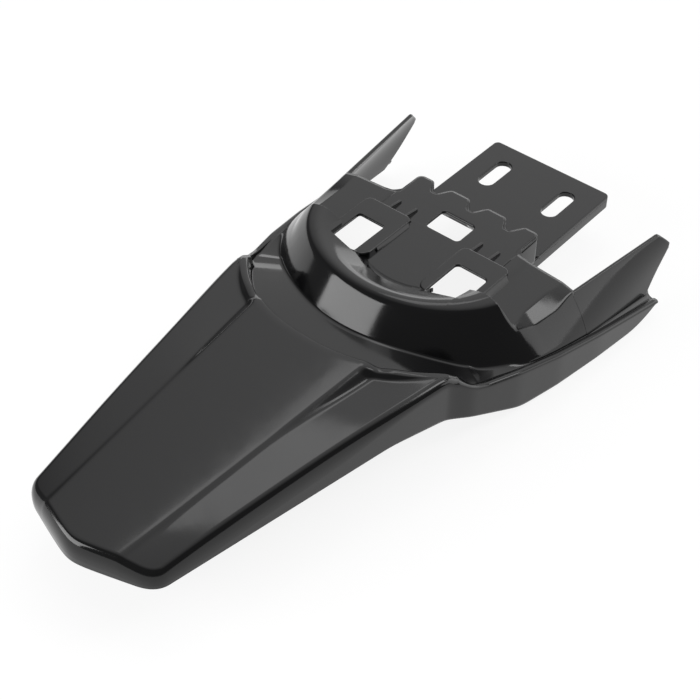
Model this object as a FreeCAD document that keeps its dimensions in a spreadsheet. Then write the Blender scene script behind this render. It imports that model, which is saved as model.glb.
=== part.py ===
"""Rear mudguard of a light motorcycle: one moulded shell of thin plastic, open underneath.

X is to the right, Y forward, Z up. The origin is the middle of the slot pair on the plate's top face.
The shell is an outer form less the same form drawn in by the wall, then trimmed and pierced.
"""
import FreeCAD
import Part
import math
import os

Vector = FreeCAD.Vector

doc = FreeCAD.newDocument("mudguard")
sheet = doc.addObject("Spreadsheet::Sheet", "sizes")

# Driving dimensions in millimetres, each with what it measures.
SIZES = [
    ("wall", 3.0, "thickness of the moulded wall"),
    ("plate_half", 50.0, "half width of the bolted plate"),
    ("plate_front", 33.0, "front edge of the plate"),
    ("plate_thickness", 4.5, "thickness of the plate at the slots"),
    ("flange_depth", 10.0, "depth of the plate's turned-down edge"),
    ("plate_corner", 4.0, "corner radius of the plate"),
    ("slot_spacing", 55.0, "distance between the slots"),
    ("slot_length", 32.0, "overall length of a slot"),
    ("slot_width", 12.0, "width of a slot"),
    ("nose_front", -59.0, "front of the fluted wall"),
    ("flute_spacing", 31.0, "distance between flutes"),
    ("flute_depth", 11.5, "depth of a flute at its top, behind the nose's front"),
    ("nook_radius", 9.0, "rounding between nose and side panel in plan"),
    ("pan_height", 22.0, "pan floor above the plate"),
    ("pan_half", 52.0, "half width of the level pan floor"),
    ("ramp_run", 8.0, "width of the ramp from pan floor to side panel"),
    ("panel_height", 17.0, "side panel above the plate"),
    ("panel_front", -84.0, "front edge of the side panels"),
    ("panel_half", 88.0, "half width where the side panel's facet starts"),
    ("plateau_rise", 3.5, "raised floor above the pan floor"),
    ("plateau_inner", 21.7, "inner edge of a raised floor"),
    ("plateau_outer", 60.0, "outer edge of a raised floor"),
    ("plateau_front", -103.5, "front edge of the raised floors"),
    ("window_half", 13.6, "half width of the middle window"),
    ("window_front", -80.0, "front edge of the middle window"),
    ("window_length", 20.0, "length of the middle window"),
    ("side_window_inner", 29.4, "inner edge of a side window"),
    ("side_window_outer", 54.0, "outer edge of a side window"),
    ("side_window_front", -120.6, "front edge of a side window"),
    ("side_window_length", 34.0, "length of a side window"),
    ("window_corner", 3.0, "corner radius of the windows"),
    ("gusset_inner", 27.8, "place of the inner gusset"),
    ("gusset_outer", 41.9, "place of the outer gusset"),
    ("gusset_width", 2.4, "thickness of a gusset"),
    ("gusset_length", 13.0, "length of a gusset"),
    ("collar_centre", -125.0, "middle of the collar's rear curve"),
    ("collar_front", 24.0, "front end of the arms before trimming"),
    ("foot_height", -40.0, "level that the collar wall is drawn down to"),
    ("foot_half", 113.0, "half width of the collar at that level"),
    ("foot_depth", 84.0, "rear depth of the collar at that level"),
    ("foot_spread", 124.0, "half width of the arms' front at that level"),
    ("base_height", 2.0, "level of the collar's rear foot"),
    ("base_half", 103.0, "half width of the collar at its rear foot"),
    ("base_depth", 72.0, "rear depth of the collar at its rear foot"),
    ("base_spread", 113.8, "half width of the arms' front at that level"),
    ("fin_height", 15.0, "top edge of the arms"),
    ("fin_half", 97.4, "half width of the collar at that level"),
    ("fin_depth", 68.2, "rear depth of the collar at that level"),
    ("fin_spread", 110.9, "half width of the arms' front at that level"),
    ("shoulder_height", 28.0, "level of the collar's shoulder"),
    ("shoulder_half", 86.5, "half width of the collar at the shoulder"),
    ("shoulder_depth", 64.6, "rear depth of the collar at the shoulder"),
    ("shoulder_spread", 102.0, "half width of the shoulder carried forward"),
    ("rim_height", 38.5, "top of the rim"),
    ("rim_half", 71.0, "half width of the rim's outer edge"),
    ("rim_depth", 61.0, "rear depth of the rim's outer edge"),
    ("rim_spread", 88.0, "half width of the rim carried forward"),
    ("rim_land", 3.0, "level land on the rim's crest"),
    ("rim_end", -140.5, "front end of the rim"),
    ("dish_height", 30.0, "inner edge of the rim's dished top"),
    ("dish_half", 55.0, "half width at the inner edge"),
    ("dish_depth", 38.0, "rear depth at the inner edge"),
    ("step_centre", -115.0, "middle of the arc of the blade's step"),
    ("step_radius", 122.0, "radius of the blade's step in plan"),
    ("step_drop", 4.0, "height of the step"),
    ("deck_height", 30.0, "deck at the step"),
    ("deck_tail", 14.0, "deck at the tail"),
    ("deck_crown", 1.2, "rise of the deck's middle"),
    ("ridge_step", 47.5, "half width of the deck at the step"),
    ("ridge_tail", 28.5, "half width of the deck at the tail"),
    ("blade_step", 89.5, "half width of the blade at the step's corner"),
    ("blade_tail", 50.5, "half width of the blade at the tail"),
    ("edge_step", 22.5, "outer edge of the blade at the step's corner"),
    ("edge_tail", 8.0, "outer edge of the blade at the tail"),
    ("edge_radius", 5.5, "rounding of the blade's outer edge"),
    ("corner_y", -204.0, "place of the step's corner"),
    ("tail_y", -436.0, "tail end at the middle"),
    ("tail_sweep", 17.0, "set-back of the tail's corners"),
    ("tail_nose", 20.0, "rounding of the tail's middle in plan"),
    ("tail_corner", 11.0, "corner radius of the tail in plan"),
    ("scoop_lip", 9.0, "width of the lip between step and scoop"),
    ("scoop_depth", 6.0, "depth of the scoop beside the deck"),
    ("scoop_end", -392.0, "where the scoop runs out"),
    ("rail_rear", -190.0, "rear start of the rail"),
    ("rail_rear_half", 97.0, "half width over the rails at the start"),
    ("rail_rear_height", 9.0, "rail top at the start"),
    ("rail_mid", -118.0, "middle station of the rail"),
    ("rail_mid_half", 113.5, "half width over the rails there"),
    ("rail_mid_height", -2.8, "rail top there"),
    ("rail_front", -14.0, "front end of the rail"),
    ("rail_front_half", 124.0, "half width over the rails at the front"),
    ("rail_front_height", -21.2, "rail top at the front"),
    ("rail_width", 4.0, "width of the rail's top"),
    ("rail_lip", 3.5, "rail top above the trough"),
    ("skirt_tail", -1.5, "bottom edge at the tail"),
    ("skirt_turn_y", -238.0, "where the bottom edge turns down"),
    ("skirt_turn", -4.5, "bottom edge there"),
    ("skirt_kink_y", -146.0, "where the bottom edge levels off"),
    ("skirt_kink", -33.0, "bottom edge there"),
    ("skirt_front", -36.5, "bottom edge at the front"),
    ("fin_root", -21.0, "foot of the fin's slanted front edge"),
    ("fin_tip_y", 12.0, "foremost point of the fin"),
    ("fin_tip", 3.0, "height of that point"),
    ("fin_round", 7.0, "rounding of the fin's tip"),
]

for row, (alias, value, note) in enumerate(SIZES, start=1):
    sheet.set(f"A{row}", note)
    sheet.set(f"B{row}", str(value))
    sheet.setAlias(f"B{row}", alias)
doc.recompute()


def size(alias):
    """The value of a driving dimension."""
    return sheet.get(alias)


def blend(first, second, share):
    """A value between two others."""
    return first + (second - first) * share


def polygon_prism(points, direction):
    """A straight-sided solid drawn from a closed outline."""
    wire = Part.makePolygon(points + points[:1])
    return Part.Face(wire).extrude(direction)


def feature(name, shape):
    """A document object that holds a freeform shape."""
    item = doc.addObject("Part::Feature", name)
    item.Shape = shape
    return item


def combine(kind, name, base, tool):
    """A boolean of two document objects."""
    item = doc.addObject(kind, name)
    item.Base = base
    item.Tool = tool
    return item


def join(name, items):
    """One object fused from several."""
    item = doc.addObject("Part::MultiFuse", name)
    item.Shapes = items
    return item


def cell(formula):
    """A formula with its driving dimensions looked up in the sheet."""
    words = formula.replace("(", "( ").replace(")", " )").split(" ")
    names = {alias for alias, value, note in SIZES}

    def looked_up(word):
        bare = word.lstrip("-")
        return word.replace(bare, "sizes." + bare) if bare in names else word

    return " ".join(looked_up(word) for word in words)


def bind(item, **formulas):
    """Tie properties of an object to the sheet."""
    for prop, formula in formulas.items():
        item.setExpression(prop, cell(formula))


def place(item, x, y, z):
    """Tie an object's position to the sheet."""
    for axis, formula in (("x", x), ("y", y), ("z", z)):
        item.setExpression(f"Placement.Base.{axis}", cell(formula))


def block(name, left, right, back, front, low, high):
    """A box between named limits."""
    item = doc.addObject("Part::Box", name)
    place(item, left, back, low)
    bind(
        item,
        Length=f"( {right} ) - ( {left} )",
        Width=f"( {front} ) - ( {back} )",
        Height=f"( {high} ) - ( {low} )",
    )
    return item


def rounded(name, base, radius, front=None):
    """A block with its upright edges rounded, or only the two at its front."""
    doc.recompute()
    item = doc.addObject("Part::Fillet", name)
    item.Base = base
    chosen = []
    for index, edge in enumerate(base.Shape.Edges, start=1):
        ends = [v.Point for v in edge.Vertexes]
        upright = abs(ends[0].z - ends[1].z) > radius
        if upright and (front is None or all(abs(p.y - size(front)) < 0.01 for p in ends)):
            chosen.append((index, radius, radius))
    item.Edges = chosen
    return item


def gusset(name, sign, alias):
    """A small triangular web from a raised floor down to the pan floor."""
    item = doc.addObject("Part::Wedge", name)
    low = "pan_height - wall / 2"
    bind(item, Xmin="0", X2min="0", Xmax="gusset_width", X2max="gusset_width")
    bind(item, Ymin="-wall / 2", Ymax="gusset_length")
    bind(item, Zmin=low, Zmax="pan_height + plateau_rise", Z2min=low, Z2max="pan_height")
    place(item, f"{sign} * {alias} - gusset_width / 2", "plateau_front", "0")
    return item


def slot(name, sign):
    """A bolt slot with round ends, along Y."""
    low = "-2 * plate_thickness"
    high = "plate_thickness"
    middle = f"{sign} * slot_spacing / 2"
    reach = "( slot_length - slot_width ) / 2"
    sides = [f"{middle} - slot_width / 2", f"{middle} + slot_width / 2"]
    straight = block(name + "_straight", sides[0], sides[1], f"-1 * {reach}", reach, low, high)
    ends = []
    for end, word in ((-1, "rear"), (1, "front")):
        item = doc.addObject("Part::Cylinder", f"{name}_{word}")
        bind(item, Radius="slot_width / 2", Height="3 * plate_thickness")
        place(item, middle, f"{end} * {reach}", low)
        ends.append(item)
    return join(name, [straight] + ends)


# Extents that only have to clear the part.
FAR = 300.0
DEEP = -90.0
# Angles of the breaks that round an edge over.
ROUND_TURNS = (0, 30, 60, 90)
# Flats that the wavy front of the nose is made of.
FLUTE_FLATS = 36
# Share of the scoop's depth that is left where it runs out.
SCOOP_FADE = 0.1


def collar_plan(level, inset):
    """Closed plan outline of the collar and arms at one of the named levels."""
    centre = size("collar_centre")
    half = size(level + "_half") - inset
    depth = size(level + "_depth") - inset
    spread = size(level + "_spread") - inset
    front = size("collar_front")
    turn = [math.radians(angle) for angle in range(0, 181, 20)]
    rear = [Vector(half * math.cos(a), centre - depth * math.sin(a)) for a in turn]
    share = [0.33, 0.66, 1.0]
    side = [Vector(blend(half, spread, s), blend(centre, front, s)) for s in share]
    points = side[::-1] + rear + [Vector(-p.x, p.y) for p in side]
    curve = Part.BSplineCurve()
    curve.interpolate(points)
    return [curve.toShape(), Part.makeLine(points[-1], points[0])]


def collar_wire(level, inset, height):
    """The plan outline raised to a height."""
    wire = Part.Wire(collar_plan(level, inset))
    wire.translate(Vector(0, 0, height))
    return wire


def collar_mass(inset):
    """Collar and arms as one block with a coved wall, up to the rim."""
    levels = ["foot", "base", "fin", "shoulder", "rim"]
    wires = [collar_wire(level, inset, size(level + "_height")) for level in levels]
    return Part.makeLoft(wires, True, False)


def half_space(y_from, z_from, y_to=FAR, z_to=FAR):
    """A block across the whole width between two Y and two Z limits."""
    return Part.makeBox(2 * FAR, y_to - y_from, z_to - z_from, Vector(-FAR, y_from, z_from))


def dish_mass(inset):
    """The space over the rim's dished top and the pan, lowered and widened for the hollow."""
    land = size("rim_land")
    centre = size("collar_centre")
    front = size("collar_front")
    rings = [
        (size("rim_half") - land, size("rim_depth") - land, size("rim_height") - inset),
        (size("dish_half"), size("dish_depth"), size("dish_height") - inset),
    ]

    def ring(half, depth, height):
        arc = [math.radians(angle) for angle in range(0, 181, 20)]
        points = [Vector(half * math.cos(a), centre - depth * math.sin(a), height) for a in arc]
        curve = Part.BSplineCurve()
        curve.interpolate(points)
        corners = [points[-1], Vector(-half, front, height), Vector(half, front, height), points[0]]
        lines = [Part.makeLine(corners[i], corners[i + 1]) for i in range(3)]
        return Part.Wire([curve.toShape()] + lines)

    slope = Part.makeLoft([ring(*rings[1]), ring(*rings[0])], True, True)
    above = Part.Face(ring(*rings[0])).extrude(Vector(0, 0, FAR))
    floor = size("pan_height") - inset
    wide = ring(size("dish_half") + inset, size("dish_depth") + inset, floor)
    pocket = Part.Face(wide).extrude(Vector(0, 0, size("dish_height") - inset - floor + inset))
    return slope.fuse(above).fuse(pocket)


def pan_mass(inset):
    """Pan floor with its side ramps and the two raised floors, as a block below them."""
    floor = size("pan_height") - inset
    half = size("pan_half")
    ramp = half + size("ramp_run")
    low = size("panel_height") - inset
    rear = size("rim_end") - inset
    length = size("panel_front") - rear
    outline = [
        Vector(-ramp, rear, 0),
        Vector(ramp, rear, 0),
        Vector(ramp, rear, low),
        Vector(half, rear, floor),
        Vector(-half, rear, floor),
        Vector(-ramp, rear, low),
    ]
    block = polygon_prism(outline, Vector(0, length, 0))
    wide = size("plateau_outer") - size("plateau_inner") - 2 * inset
    back = size("collar_centre") - size("dish_depth")
    long = size("plateau_front") - inset - back
    top = floor + size("plateau_rise")
    for left in (size("plateau_inner") + inset, inset - size("plateau_outer")):
        raised = Part.makeBox(wide, long, top, Vector(left, back, 0))
        block = block.fuse(raised)
    return block


def facet_cut(side, inset):
    """Wedge that bevels a side panel down to the arm's top edge."""
    inner = size("panel_half")
    top = size("panel_height") - inset
    rise = 2 * (size("panel_height") - size("fin_height"))
    outline = [
        Vector(side * inner, 0, top),
        Vector(side * (inner + 2 * size("panel_height")), 0, top - rise),
        Vector(side * (inner + 2 * size("panel_height")), 0, top + rise),
    ]
    wedge = polygon_prism(outline, Vector(0, 2 * FAR, 0))
    wedge.translate(Vector(0, size("rim_end"), 0))
    return wedge


def collar_form(inset):
    """Collar, rim, pan and arms."""
    block = collar_mass(inset)
    block = block.cut(dish_mass(inset))
    block = block.cut(half_space(size("rim_end") - inset, size("panel_height") - inset))
    for side in (-1, 1):
        block = block.cut(facet_cut(side, inset))
    block = block.fuse(pan_mass(inset).common(collar_mass(inset)))
    if inset:
        ahead = half_space(size("panel_front"), DEEP)
        return block.fuse(collar_mass(inset).common(ahead))
    return block.cut(half_space(size("panel_front"), size("fin_height")))


def along_blade(y):
    """Share of the way from the step's corner to the tail."""
    return (size("corner_y") - y) / (size("corner_y") - size("tail_y"))


def blade_section(y, inset):
    """Closed section of the blade: crowned deck, ridge, shoulder, rounded edge and side."""
    share = along_blade(y)
    half = blend(size("blade_step"), size("blade_tail"), share) - inset
    edge = blend(size("edge_step"), size("edge_tail"), share ** 2) - inset
    ridge = blend(size("ridge_step"), size("ridge_tail"), share)
    deck = blend(size("deck_height"), size("deck_tail"), share) - inset
    radius = size("edge_radius") - inset / 2
    shoulder = Vector(blend(ridge, half - radius, 0.5), y, blend(deck, edge, 0.15 + 0.35 * share))
    return section_wire(y, half, edge, radius, shoulder, ridge, deck, deck + size("deck_crown"))


def skirt_section(y, half, top, inset):
    """Closed section of the skirts: a rail each side, higher between them for the later cuts."""
    radius = size("rail_width") / 2
    wide = half - inset
    inner = wide - 2 * size("rail_width")
    shoulder = Vector(inner, y, top + size("rail_width") - inset)
    ridge = inner - size("rail_width")
    deck = shoulder.z + size("rail_width")
    return section_wire(y, wide, top - inset, radius, shoulder, ridge, deck, deck)


def section_wire(y, half, edge, radius, shoulder, ridge, deck, crown):
    """Closed wire across the part at one Y, alike on both sides."""
    centre = Vector(half - radius, y, edge - radius)
    turns = [math.radians(angle) for angle in ROUND_TURNS]

    def side(sign):
        foot = Vector(sign * half, y, DEEP)
        bend = [
            Vector(sign * (centre.x + radius * math.cos(a)), y, centre.z + radius * math.sin(a))
            for a in turns
        ]
        lift = Vector(sign * shoulder.x, y, shoulder.z)
        top = Vector(sign * ridge, y, deck)
        points = [foot] + bend + [lift, top]
        edges = [Part.makeLine(points[i], points[i + 1]) for i in range(len(points) - 1)]
        return foot, top, edges

    foot_l, top_l, left = side(-1)
    foot_r, top_r, right = side(1)
    roof = Part.Arc(top_l, Vector(0, y, crown + 0.01), top_r).toShape()
    return Part.Wire(left + [roof] + right[::-1] + [Part.makeLine(foot_r, foot_l)])


def tail_plan(inset):
    """Plan of the blade's end: a blunt arrow with rounded middle and corners, open ahead."""
    sweep = size("tail_sweep")
    wide = blend(size("blade_step"), size("blade_tail"), along_blade(size("tail_y") + sweep)) - inset
    nose = size("tail_nose")
    tilt = math.atan2(sweep, wide + inset)
    apex = size("tail_y") + inset - nose * (1 / math.cos(tilt) - 1)
    set_back = apex + wide * math.tan(tilt)
    widening = (size("blade_step") - size("blade_tail")) / (size("corner_y") - size("tail_y"))
    right = [Vector(wide, set_back), Vector(wide + widening * FAR, set_back + FAR)]
    left = [Vector(-p.x, p.y) for p in right[::-1]]
    block = polygon_prism([Vector(0, apex)] + right + left, Vector(0, 0, FAR))
    block.translate(Vector(0, 0, DEEP))
    middle = [e for e in block.Edges if is_upright_at(e, 0, apex)]
    block = block.makeFillet(nose, middle)
    tips = [e for e in block.Edges if is_upright_at(e, wide, set_back)]
    return block.makeFillet(size("tail_corner"), tips)


def is_upright_at(edge, x, y):
    """True for the upright edges at a plan point or its mirror image."""
    ends = [v.Point for v in edge.Vertexes]
    return all(abs(abs(p.x) - x) < 0.1 and abs(p.y - y) < 0.1 for p in ends)


def rail_stations():
    """Y, half width over the rails and rail height at the rail's three stations."""
    names = ["rail_rear", "rail_mid", "rail_front"]
    return [(size(n), size(n + "_half"), size(n + "_height")) for n in names]


def trough_plan(inset, grow):
    """Prism inside the rails, from the blade's corner forward."""
    stations = rail_stations()
    inner = size("rail_width") - grow
    first = Vector(size("blade_step") - inner - inset, size("corner_y") - FAR / 4)
    points = [first] + [Vector(half - inner, y) for y, half, top in stations]
    points.append(points[-1] + Vector(inner, FAR / 4))
    outline = points + [Vector(-p.x, p.y) for p in points[::-1]]
    block = polygon_prism(outline, Vector(0, 0, FAR))
    block.translate(Vector(0, 0, DEEP))
    return block


def saddle_mass(inset):
    """Space over the saddle and the troughs, lowered for the hollow."""
    top = size("deck_height") - size("step_drop") - inset
    low = size("base_height") - inset
    reach = size("step_radius") + inset
    centre = Vector(0, size("step_centre"), top)
    upper = Part.Wire(Part.makeCircle(reach, centre))
    slope = (top - low) / (size("step_centre") - reach - size("collar_centre") + size("base_depth"))
    foot = reach + (top - low) / slope
    lower = Part.Wire(Part.makeCircle(foot, Vector(0, size("step_centre"), low)))
    funnel = Part.makeLoft([lower, upper], True, True)
    above = Part.Face(upper).extrude(Vector(0, 0, FAR))
    rear, mid, front = rail_stations()
    lip = size("rail_lip") + inset
    fall = (front[2] - mid[2]) / (front[0] - mid[0])
    start = rear[0]
    floor_start = mid[2] + fall * (start - mid[0]) - lip
    end = size("collar_front")
    floor_end = mid[2] + fall * (end - mid[0]) - lip
    outline = [
        Vector(-FAR, start, floor_start),
        Vector(-FAR, end, floor_end),
        Vector(-FAR, end, FAR),
        Vector(-FAR, start, FAR),
    ]
    trough = polygon_prism(outline, Vector(2 * FAR, 0, 0))
    return funnel.fuse(above).fuse(trough).common(trough_plan(inset, 0.0))


def scoop_mass(side, inset):
    """Space over the scoop beside the deck, deep at the lip and running out towards the tail."""
    lip = size("scoop_lip") - inset
    over = size("edge_radius")

    def section(y, depth):
        share = along_blade(y)
        half = blend(size("blade_step"), size("blade_tail"), share)
        edge = blend(size("edge_step"), size("edge_tail"), share ** 2) - inset
        ridge = blend(size("ridge_step"), size("ridge_tail"), share)
        deck = blend(size("deck_height"), size("deck_tail"), share)
        floor = deck - depth - inset
        outside = half + over
        fall = (floor - edge) / (half - over - ridge - depth)
        points = [
            Vector(side * (ridge - inset), y, deck),
            Vector(side * (ridge + depth - inset), y, floor),
            Vector(side * outside, y, edge - fall * 2 * over + over / 4),
            Vector(side * outside, y, FAR / 4),
            Vector(side * (ridge - inset), y, FAR / 4),
        ]
        return Part.makePolygon(points + points[:1])

    deep = size("scoop_depth")
    end = size("scoop_end")
    block = Part.makeLoft([section(size("corner_y"), deep), section(end, deep * SCOOP_FADE)], True, True)
    reach = size("step_radius") + lip
    return block.cut(Part.makeCylinder(reach, FAR, Vector(0, size("step_centre"), -FAR / 2)))


def blade_form(inset):
    """Blade, skirts, saddle and troughs."""
    corner = size("corner_y")
    tail = size("tail_y") - size("tail_corner")
    stations = [blend(tail, corner, share) for share in (0.0, 0.25, 0.5, 0.75, 1.0)]
    sections = [blade_section(y, inset) for y in stations]
    blade = Part.makeLoft(sections, True, False).common(tail_plan(inset))
    rails = [skirt_section(y, half, top, inset) for y, half, top in rail_stations()]
    skirts = Part.makeLoft([blade_section(corner, inset)] + rails, True, True)
    for side in (-1, 1):
        blade = blade.cut(scoop_mass(side, inset))
    return blade.fuse(skirts).cut(saddle_mass(inset))


def side_trim():
    """The kept side view: bottom edge of the skirts, front of the rails and the slanted fins."""
    tail = size("tail_y") - FAR / 4
    points = [
        Vector(-FAR, tail, size("skirt_tail")),
        Vector(-FAR, size("tail_y"), size("skirt_tail")),
        Vector(-FAR, size("skirt_turn_y"), size("skirt_turn")),
        Vector(-FAR, size("skirt_kink_y"), size("skirt_kink")),
        Vector(-FAR, size("rail_front"), size("skirt_front")),
        Vector(-FAR, size("rail_front"), size("fin_root")),
        Vector(-FAR, size("fin_tip_y"), size("fin_tip")),
        Vector(-FAR, size("fin_tip_y") - size("fin_height") + size("fin_tip"), size("fin_height")),
        Vector(-FAR, size("fin_tip_y") - size("fin_height") + size("fin_tip"), FAR),
        Vector(-FAR, tail, FAR),
    ]
    block = polygon_prism(points, Vector(2 * FAR, 0, 0))
    tips = [e for e in block.Edges if is_fin_tip(e)]
    return block.makeFillet(size("fin_round"), tips)


def is_fin_tip(edge):
    """True for the edge across the part at the fins' foremost point."""
    ends = [v.Point for v in edge.Vertexes]
    return all(abs(p.y - size("fin_tip_y")) < 0.01 and abs(p.z - size("fin_tip")) < 0.01 for p in ends)


def nose_wire(depth, height, inset):
    """Plan outline of the nose at one height, with a wavy front of a given depth."""
    half = size("plate_half") - inset
    front = size("nose_front") - inset
    rear = size("panel_front") - size("wall") - inset
    corner = size("plate_corner")
    pitch = size("flute_spacing")
    reach = half - corner / 2
    across = [blend(-reach, reach, i / FLUTE_FLATS) for i in range(FLUTE_FLATS + 1)]
    wave = [Vector(x, front - depth * (1 + math.cos(2 * math.pi * x / pitch)) / 2, height) for x in across]
    sides = [Vector(half, front - corner, height), Vector(half, rear, height)]
    outline = wave + sides + [Vector(-p.x, p.y, height) for p in sides[::-1]]
    return Part.makePolygon(outline + outline[:1])


def nose_form(inset):
    """Nose of the front, fluted at the top and plain at the plate, or the hollow in it."""
    low = nose_wire(0.0, 0.0, inset)
    high = nose_wire(size("flute_depth"), size("pan_height"), inset)
    block = Part.makeLoft([low, high], True, True)
    below = -2 * size("flange_depth") if inset else -size("flange_depth")
    block = block.fuse(Part.Face(low).extrude(Vector(0, 0, below)))
    return block.cut(half_space(-FAR, size("pan_height") - inset))


def nook_form(side):
    """Web that rounds the inner corner between nose and side panel, level with the ramp."""
    inner = size("plate_half")
    half = size("pan_half")
    ramp = half + size("ramp_run")
    wall = size("wall")
    radius = size("nook_radius")
    start = size("panel_front") - wall / 2
    top = [(inner - wall / 2, size("pan_height")), (half, size("pan_height")), (ramp, size("panel_height"))]
    outline = [Vector(side * x, start, z) for x, z in top]
    outline += [Vector(side * x, start, z - wall) for x, z in top[::-1]]
    web = polygon_prism(outline, Vector(0, radius + wall / 2, 0))
    middle = Vector(side * (inner + radius), size("panel_front") + radius, -FAR / 2)
    return web.cut(Part.makeCylinder(radius, FAR, middle))


# The moulded body: outer form less hollow, trimmed to the side view.
wall = size("wall")
outer = feature("outer_form", blade_form(0.0).fuse(collar_form(0.0)))
hollow = feature("hollow_form", blade_form(wall).fuse(collar_form(wall)))
trim = feature("side_view", side_trim())
shell = combine("Part::Cut", "open_shell", outer, hollow)
trimmed = combine("Part::Common", "trimmed_shell", shell, trim)

# The front: a fluted nose down to the plate and the plate itself, hollow below.
nose = feature("nose_form", nose_form(0.0))
nose_hollow = feature("nose_hollow", nose_form(wall))
plate = block(
    "plate", "-plate_half", "plate_half", "nose_front - wall", "plate_front", "-flange_depth", "0"
)
plate_hollow = block(
    "plate_hollow",
    "wall - plate_half",
    "plate_half - wall",
    "panel_front - wall",
    "plate_front - wall",
    "-2 * flange_depth",
    "-plate_thickness",
)
round_plate = rounded("rounded_plate", plate, size("plate_corner"), "plate_front")
front_mass = join("front_mass", [nose, round_plate])
front_space = join("front_space", [nose_hollow, plate_hollow])
front = combine("Part::Cut", "front", front_mass, front_space)
nooks = [feature(f"{hand}_nook", nook_form(sign)) for sign, hand in ((1, "right"), (-1, "left"))]

# Gussets ahead of the raised floors.
gussets = []
for sign, hand in ((1, "right"), (-1, "left")):
    for alias in ("gusset_inner", "gusset_outer"):
        gussets.append(gusset(f"{alias}_{hand}", sign, alias))
whole = join("whole_shell", [trimmed, front] + nooks + gussets)

# Openings: one window ahead of the rim, one through each raised floor, and two bolt slots.
middle_window = block(
    "middle_window",
    "-window_half",
    "window_half",
    "window_front - window_length",
    "window_front",
    "wall",
    "2 * pan_height",
)
openings = [rounded("round_middle_window", middle_window, size("window_corner"))]
for sign, hand in ((1, "right"), (-1, "left")):
    near, far = ("side_window_inner", "side_window_outer")
    if sign < 0:
        near, far = ("-side_window_outer", "-side_window_inner")
    window = block(
        f"{hand}_window",
        near,
        far,
        "side_window_front - side_window_length",
        "side_window_front",
        "wall",
        "2 * pan_height",
    )
    openings.append(rounded(f"round_{hand}_window", window, size("window_corner")))
    openings.append(slot(f"{hand}_slot", sign))
pierced = combine("Part::Cut", "mudguard_shell", whole, join("openings", openings))

doc.recompute()
body = pierced
body.Label = "mudguard_shell"

failed = [item.Name for item in doc.Objects if "Invalid" in item.State or "Error" in item.State]
if failed:
    raise RuntimeError("failed objects: " + ", ".join(failed))
if body.Shape.isNull() or not body.Shape.isValid():
    raise RuntimeError("the shell is not a valid shape")

os.makedirs("parts", exist_ok=True)
body.Shape.exportStep("parts/mudguard_shell.step")
print("solids", len(body.Shape.Solids), "volume", round(body.Shape.Volume), body.Shape.BoundBox)
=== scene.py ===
import bmesh
import bpy
import math
import numpy as np
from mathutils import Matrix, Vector


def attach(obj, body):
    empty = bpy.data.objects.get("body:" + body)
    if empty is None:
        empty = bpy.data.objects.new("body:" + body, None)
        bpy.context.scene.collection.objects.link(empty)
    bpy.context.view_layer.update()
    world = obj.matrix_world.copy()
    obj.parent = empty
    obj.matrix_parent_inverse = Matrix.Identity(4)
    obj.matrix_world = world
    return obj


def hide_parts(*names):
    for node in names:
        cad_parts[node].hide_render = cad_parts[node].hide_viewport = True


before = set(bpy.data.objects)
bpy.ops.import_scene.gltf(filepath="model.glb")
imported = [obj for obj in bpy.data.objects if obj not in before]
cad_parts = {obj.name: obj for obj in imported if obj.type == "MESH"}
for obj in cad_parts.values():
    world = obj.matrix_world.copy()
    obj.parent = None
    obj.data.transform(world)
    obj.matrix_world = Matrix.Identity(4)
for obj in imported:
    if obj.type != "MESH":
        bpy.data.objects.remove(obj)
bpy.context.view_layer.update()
scene = bpy.context.scene

# Tail blade and skirts.
# The long rear part of the one-piece polypropylene moulding: a raised deck between scooped flanks.
# Its edge rolls over into a side wall, which runs on forward as the skirt and its rail.
MM = 0.001
FAN_Y = -125.0
STEP_RADIUS = 112.0
STEP_EDGE = 5.0
TAIL_Y = -436.0
CORNER_Y = -204.0
TAIL_SLOPE = 0.33
EDGE_ROUND = 5.5
RAIL_ROUND = 2.2
RAIL_FRONT = -14.0
PANEL_FRONT = -84.0
BLADE_HALF_AT_STEP = 89.5
BLADE_HALF_AT_TAIL = 50.5
WIDEST_HALF = 123.9
EDGE_AT_STEP = 22.5
EDGE_FALL = 14.5
DECK_AT_STEP = 30.0
DECK_FALL = 16.0
DECK_CROWN = 1.2
RIDGE_AT_STEP = 47.5
RIDGE_NARROWING = 19.0
SKIRT_LOWEST = -36.4


def soften(y, places, values, reach):
    """A curve through straight runs, eased over a reach each side of every break."""
    offsets = np.linspace(-reach, reach, 9)
    weights = 1.0 - np.abs(offsets) / (reach * 1.25)
    total = sum(w * np.interp(np.asarray(y) + o, places, values) for o, w in zip(offsets, weights))
    return total / weights.sum()


def ease(low, high, value):
    """Smooth step from 0 at low to 1 at high."""
    share = np.clip((np.asarray(value, float) - low) / (high - low), 0.0, 1.0)
    return share * share * (3.0 - 2.0 * share)


def outer_half(y):
    """Half width over the side wall, from the tail to the front of the rail."""
    places = [-470.0, TAIL_Y, CORNER_Y, -190.0, -154.0, -118.0, -79.0, RAIL_FRONT, 20.0]
    values = [44.8, BLADE_HALF_AT_TAIL, BLADE_HALF_AT_STEP, 96.5, 106.5, 113.5, 118.4, 124.0, 126.9]
    return np.minimum(soften(y, places, values, 5.0), WIDEST_HALF)


def edge_height(y):
    """Top of the side wall: the blade's edge, its fall at the step's corner, then the rail."""
    share = np.clip((CORNER_Y - np.asarray(y, float)) / (CORNER_Y - TAIL_Y), 0.0, 1.1)
    blade = EDGE_AT_STEP - EDGE_FALL * share ** 2
    places = [-210.0, -203.0, -198.0, -193.0, -187.0, -178.0, -154.0, -118.0, RAIL_FRONT, 20.0]
    values = [0.0, -1.0, -5.0, -11.2, -15.6, -18.8, -22.6, -29.2, -47.7, -53.7]
    return blade + soften(y, places, values, 3.0)


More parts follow.
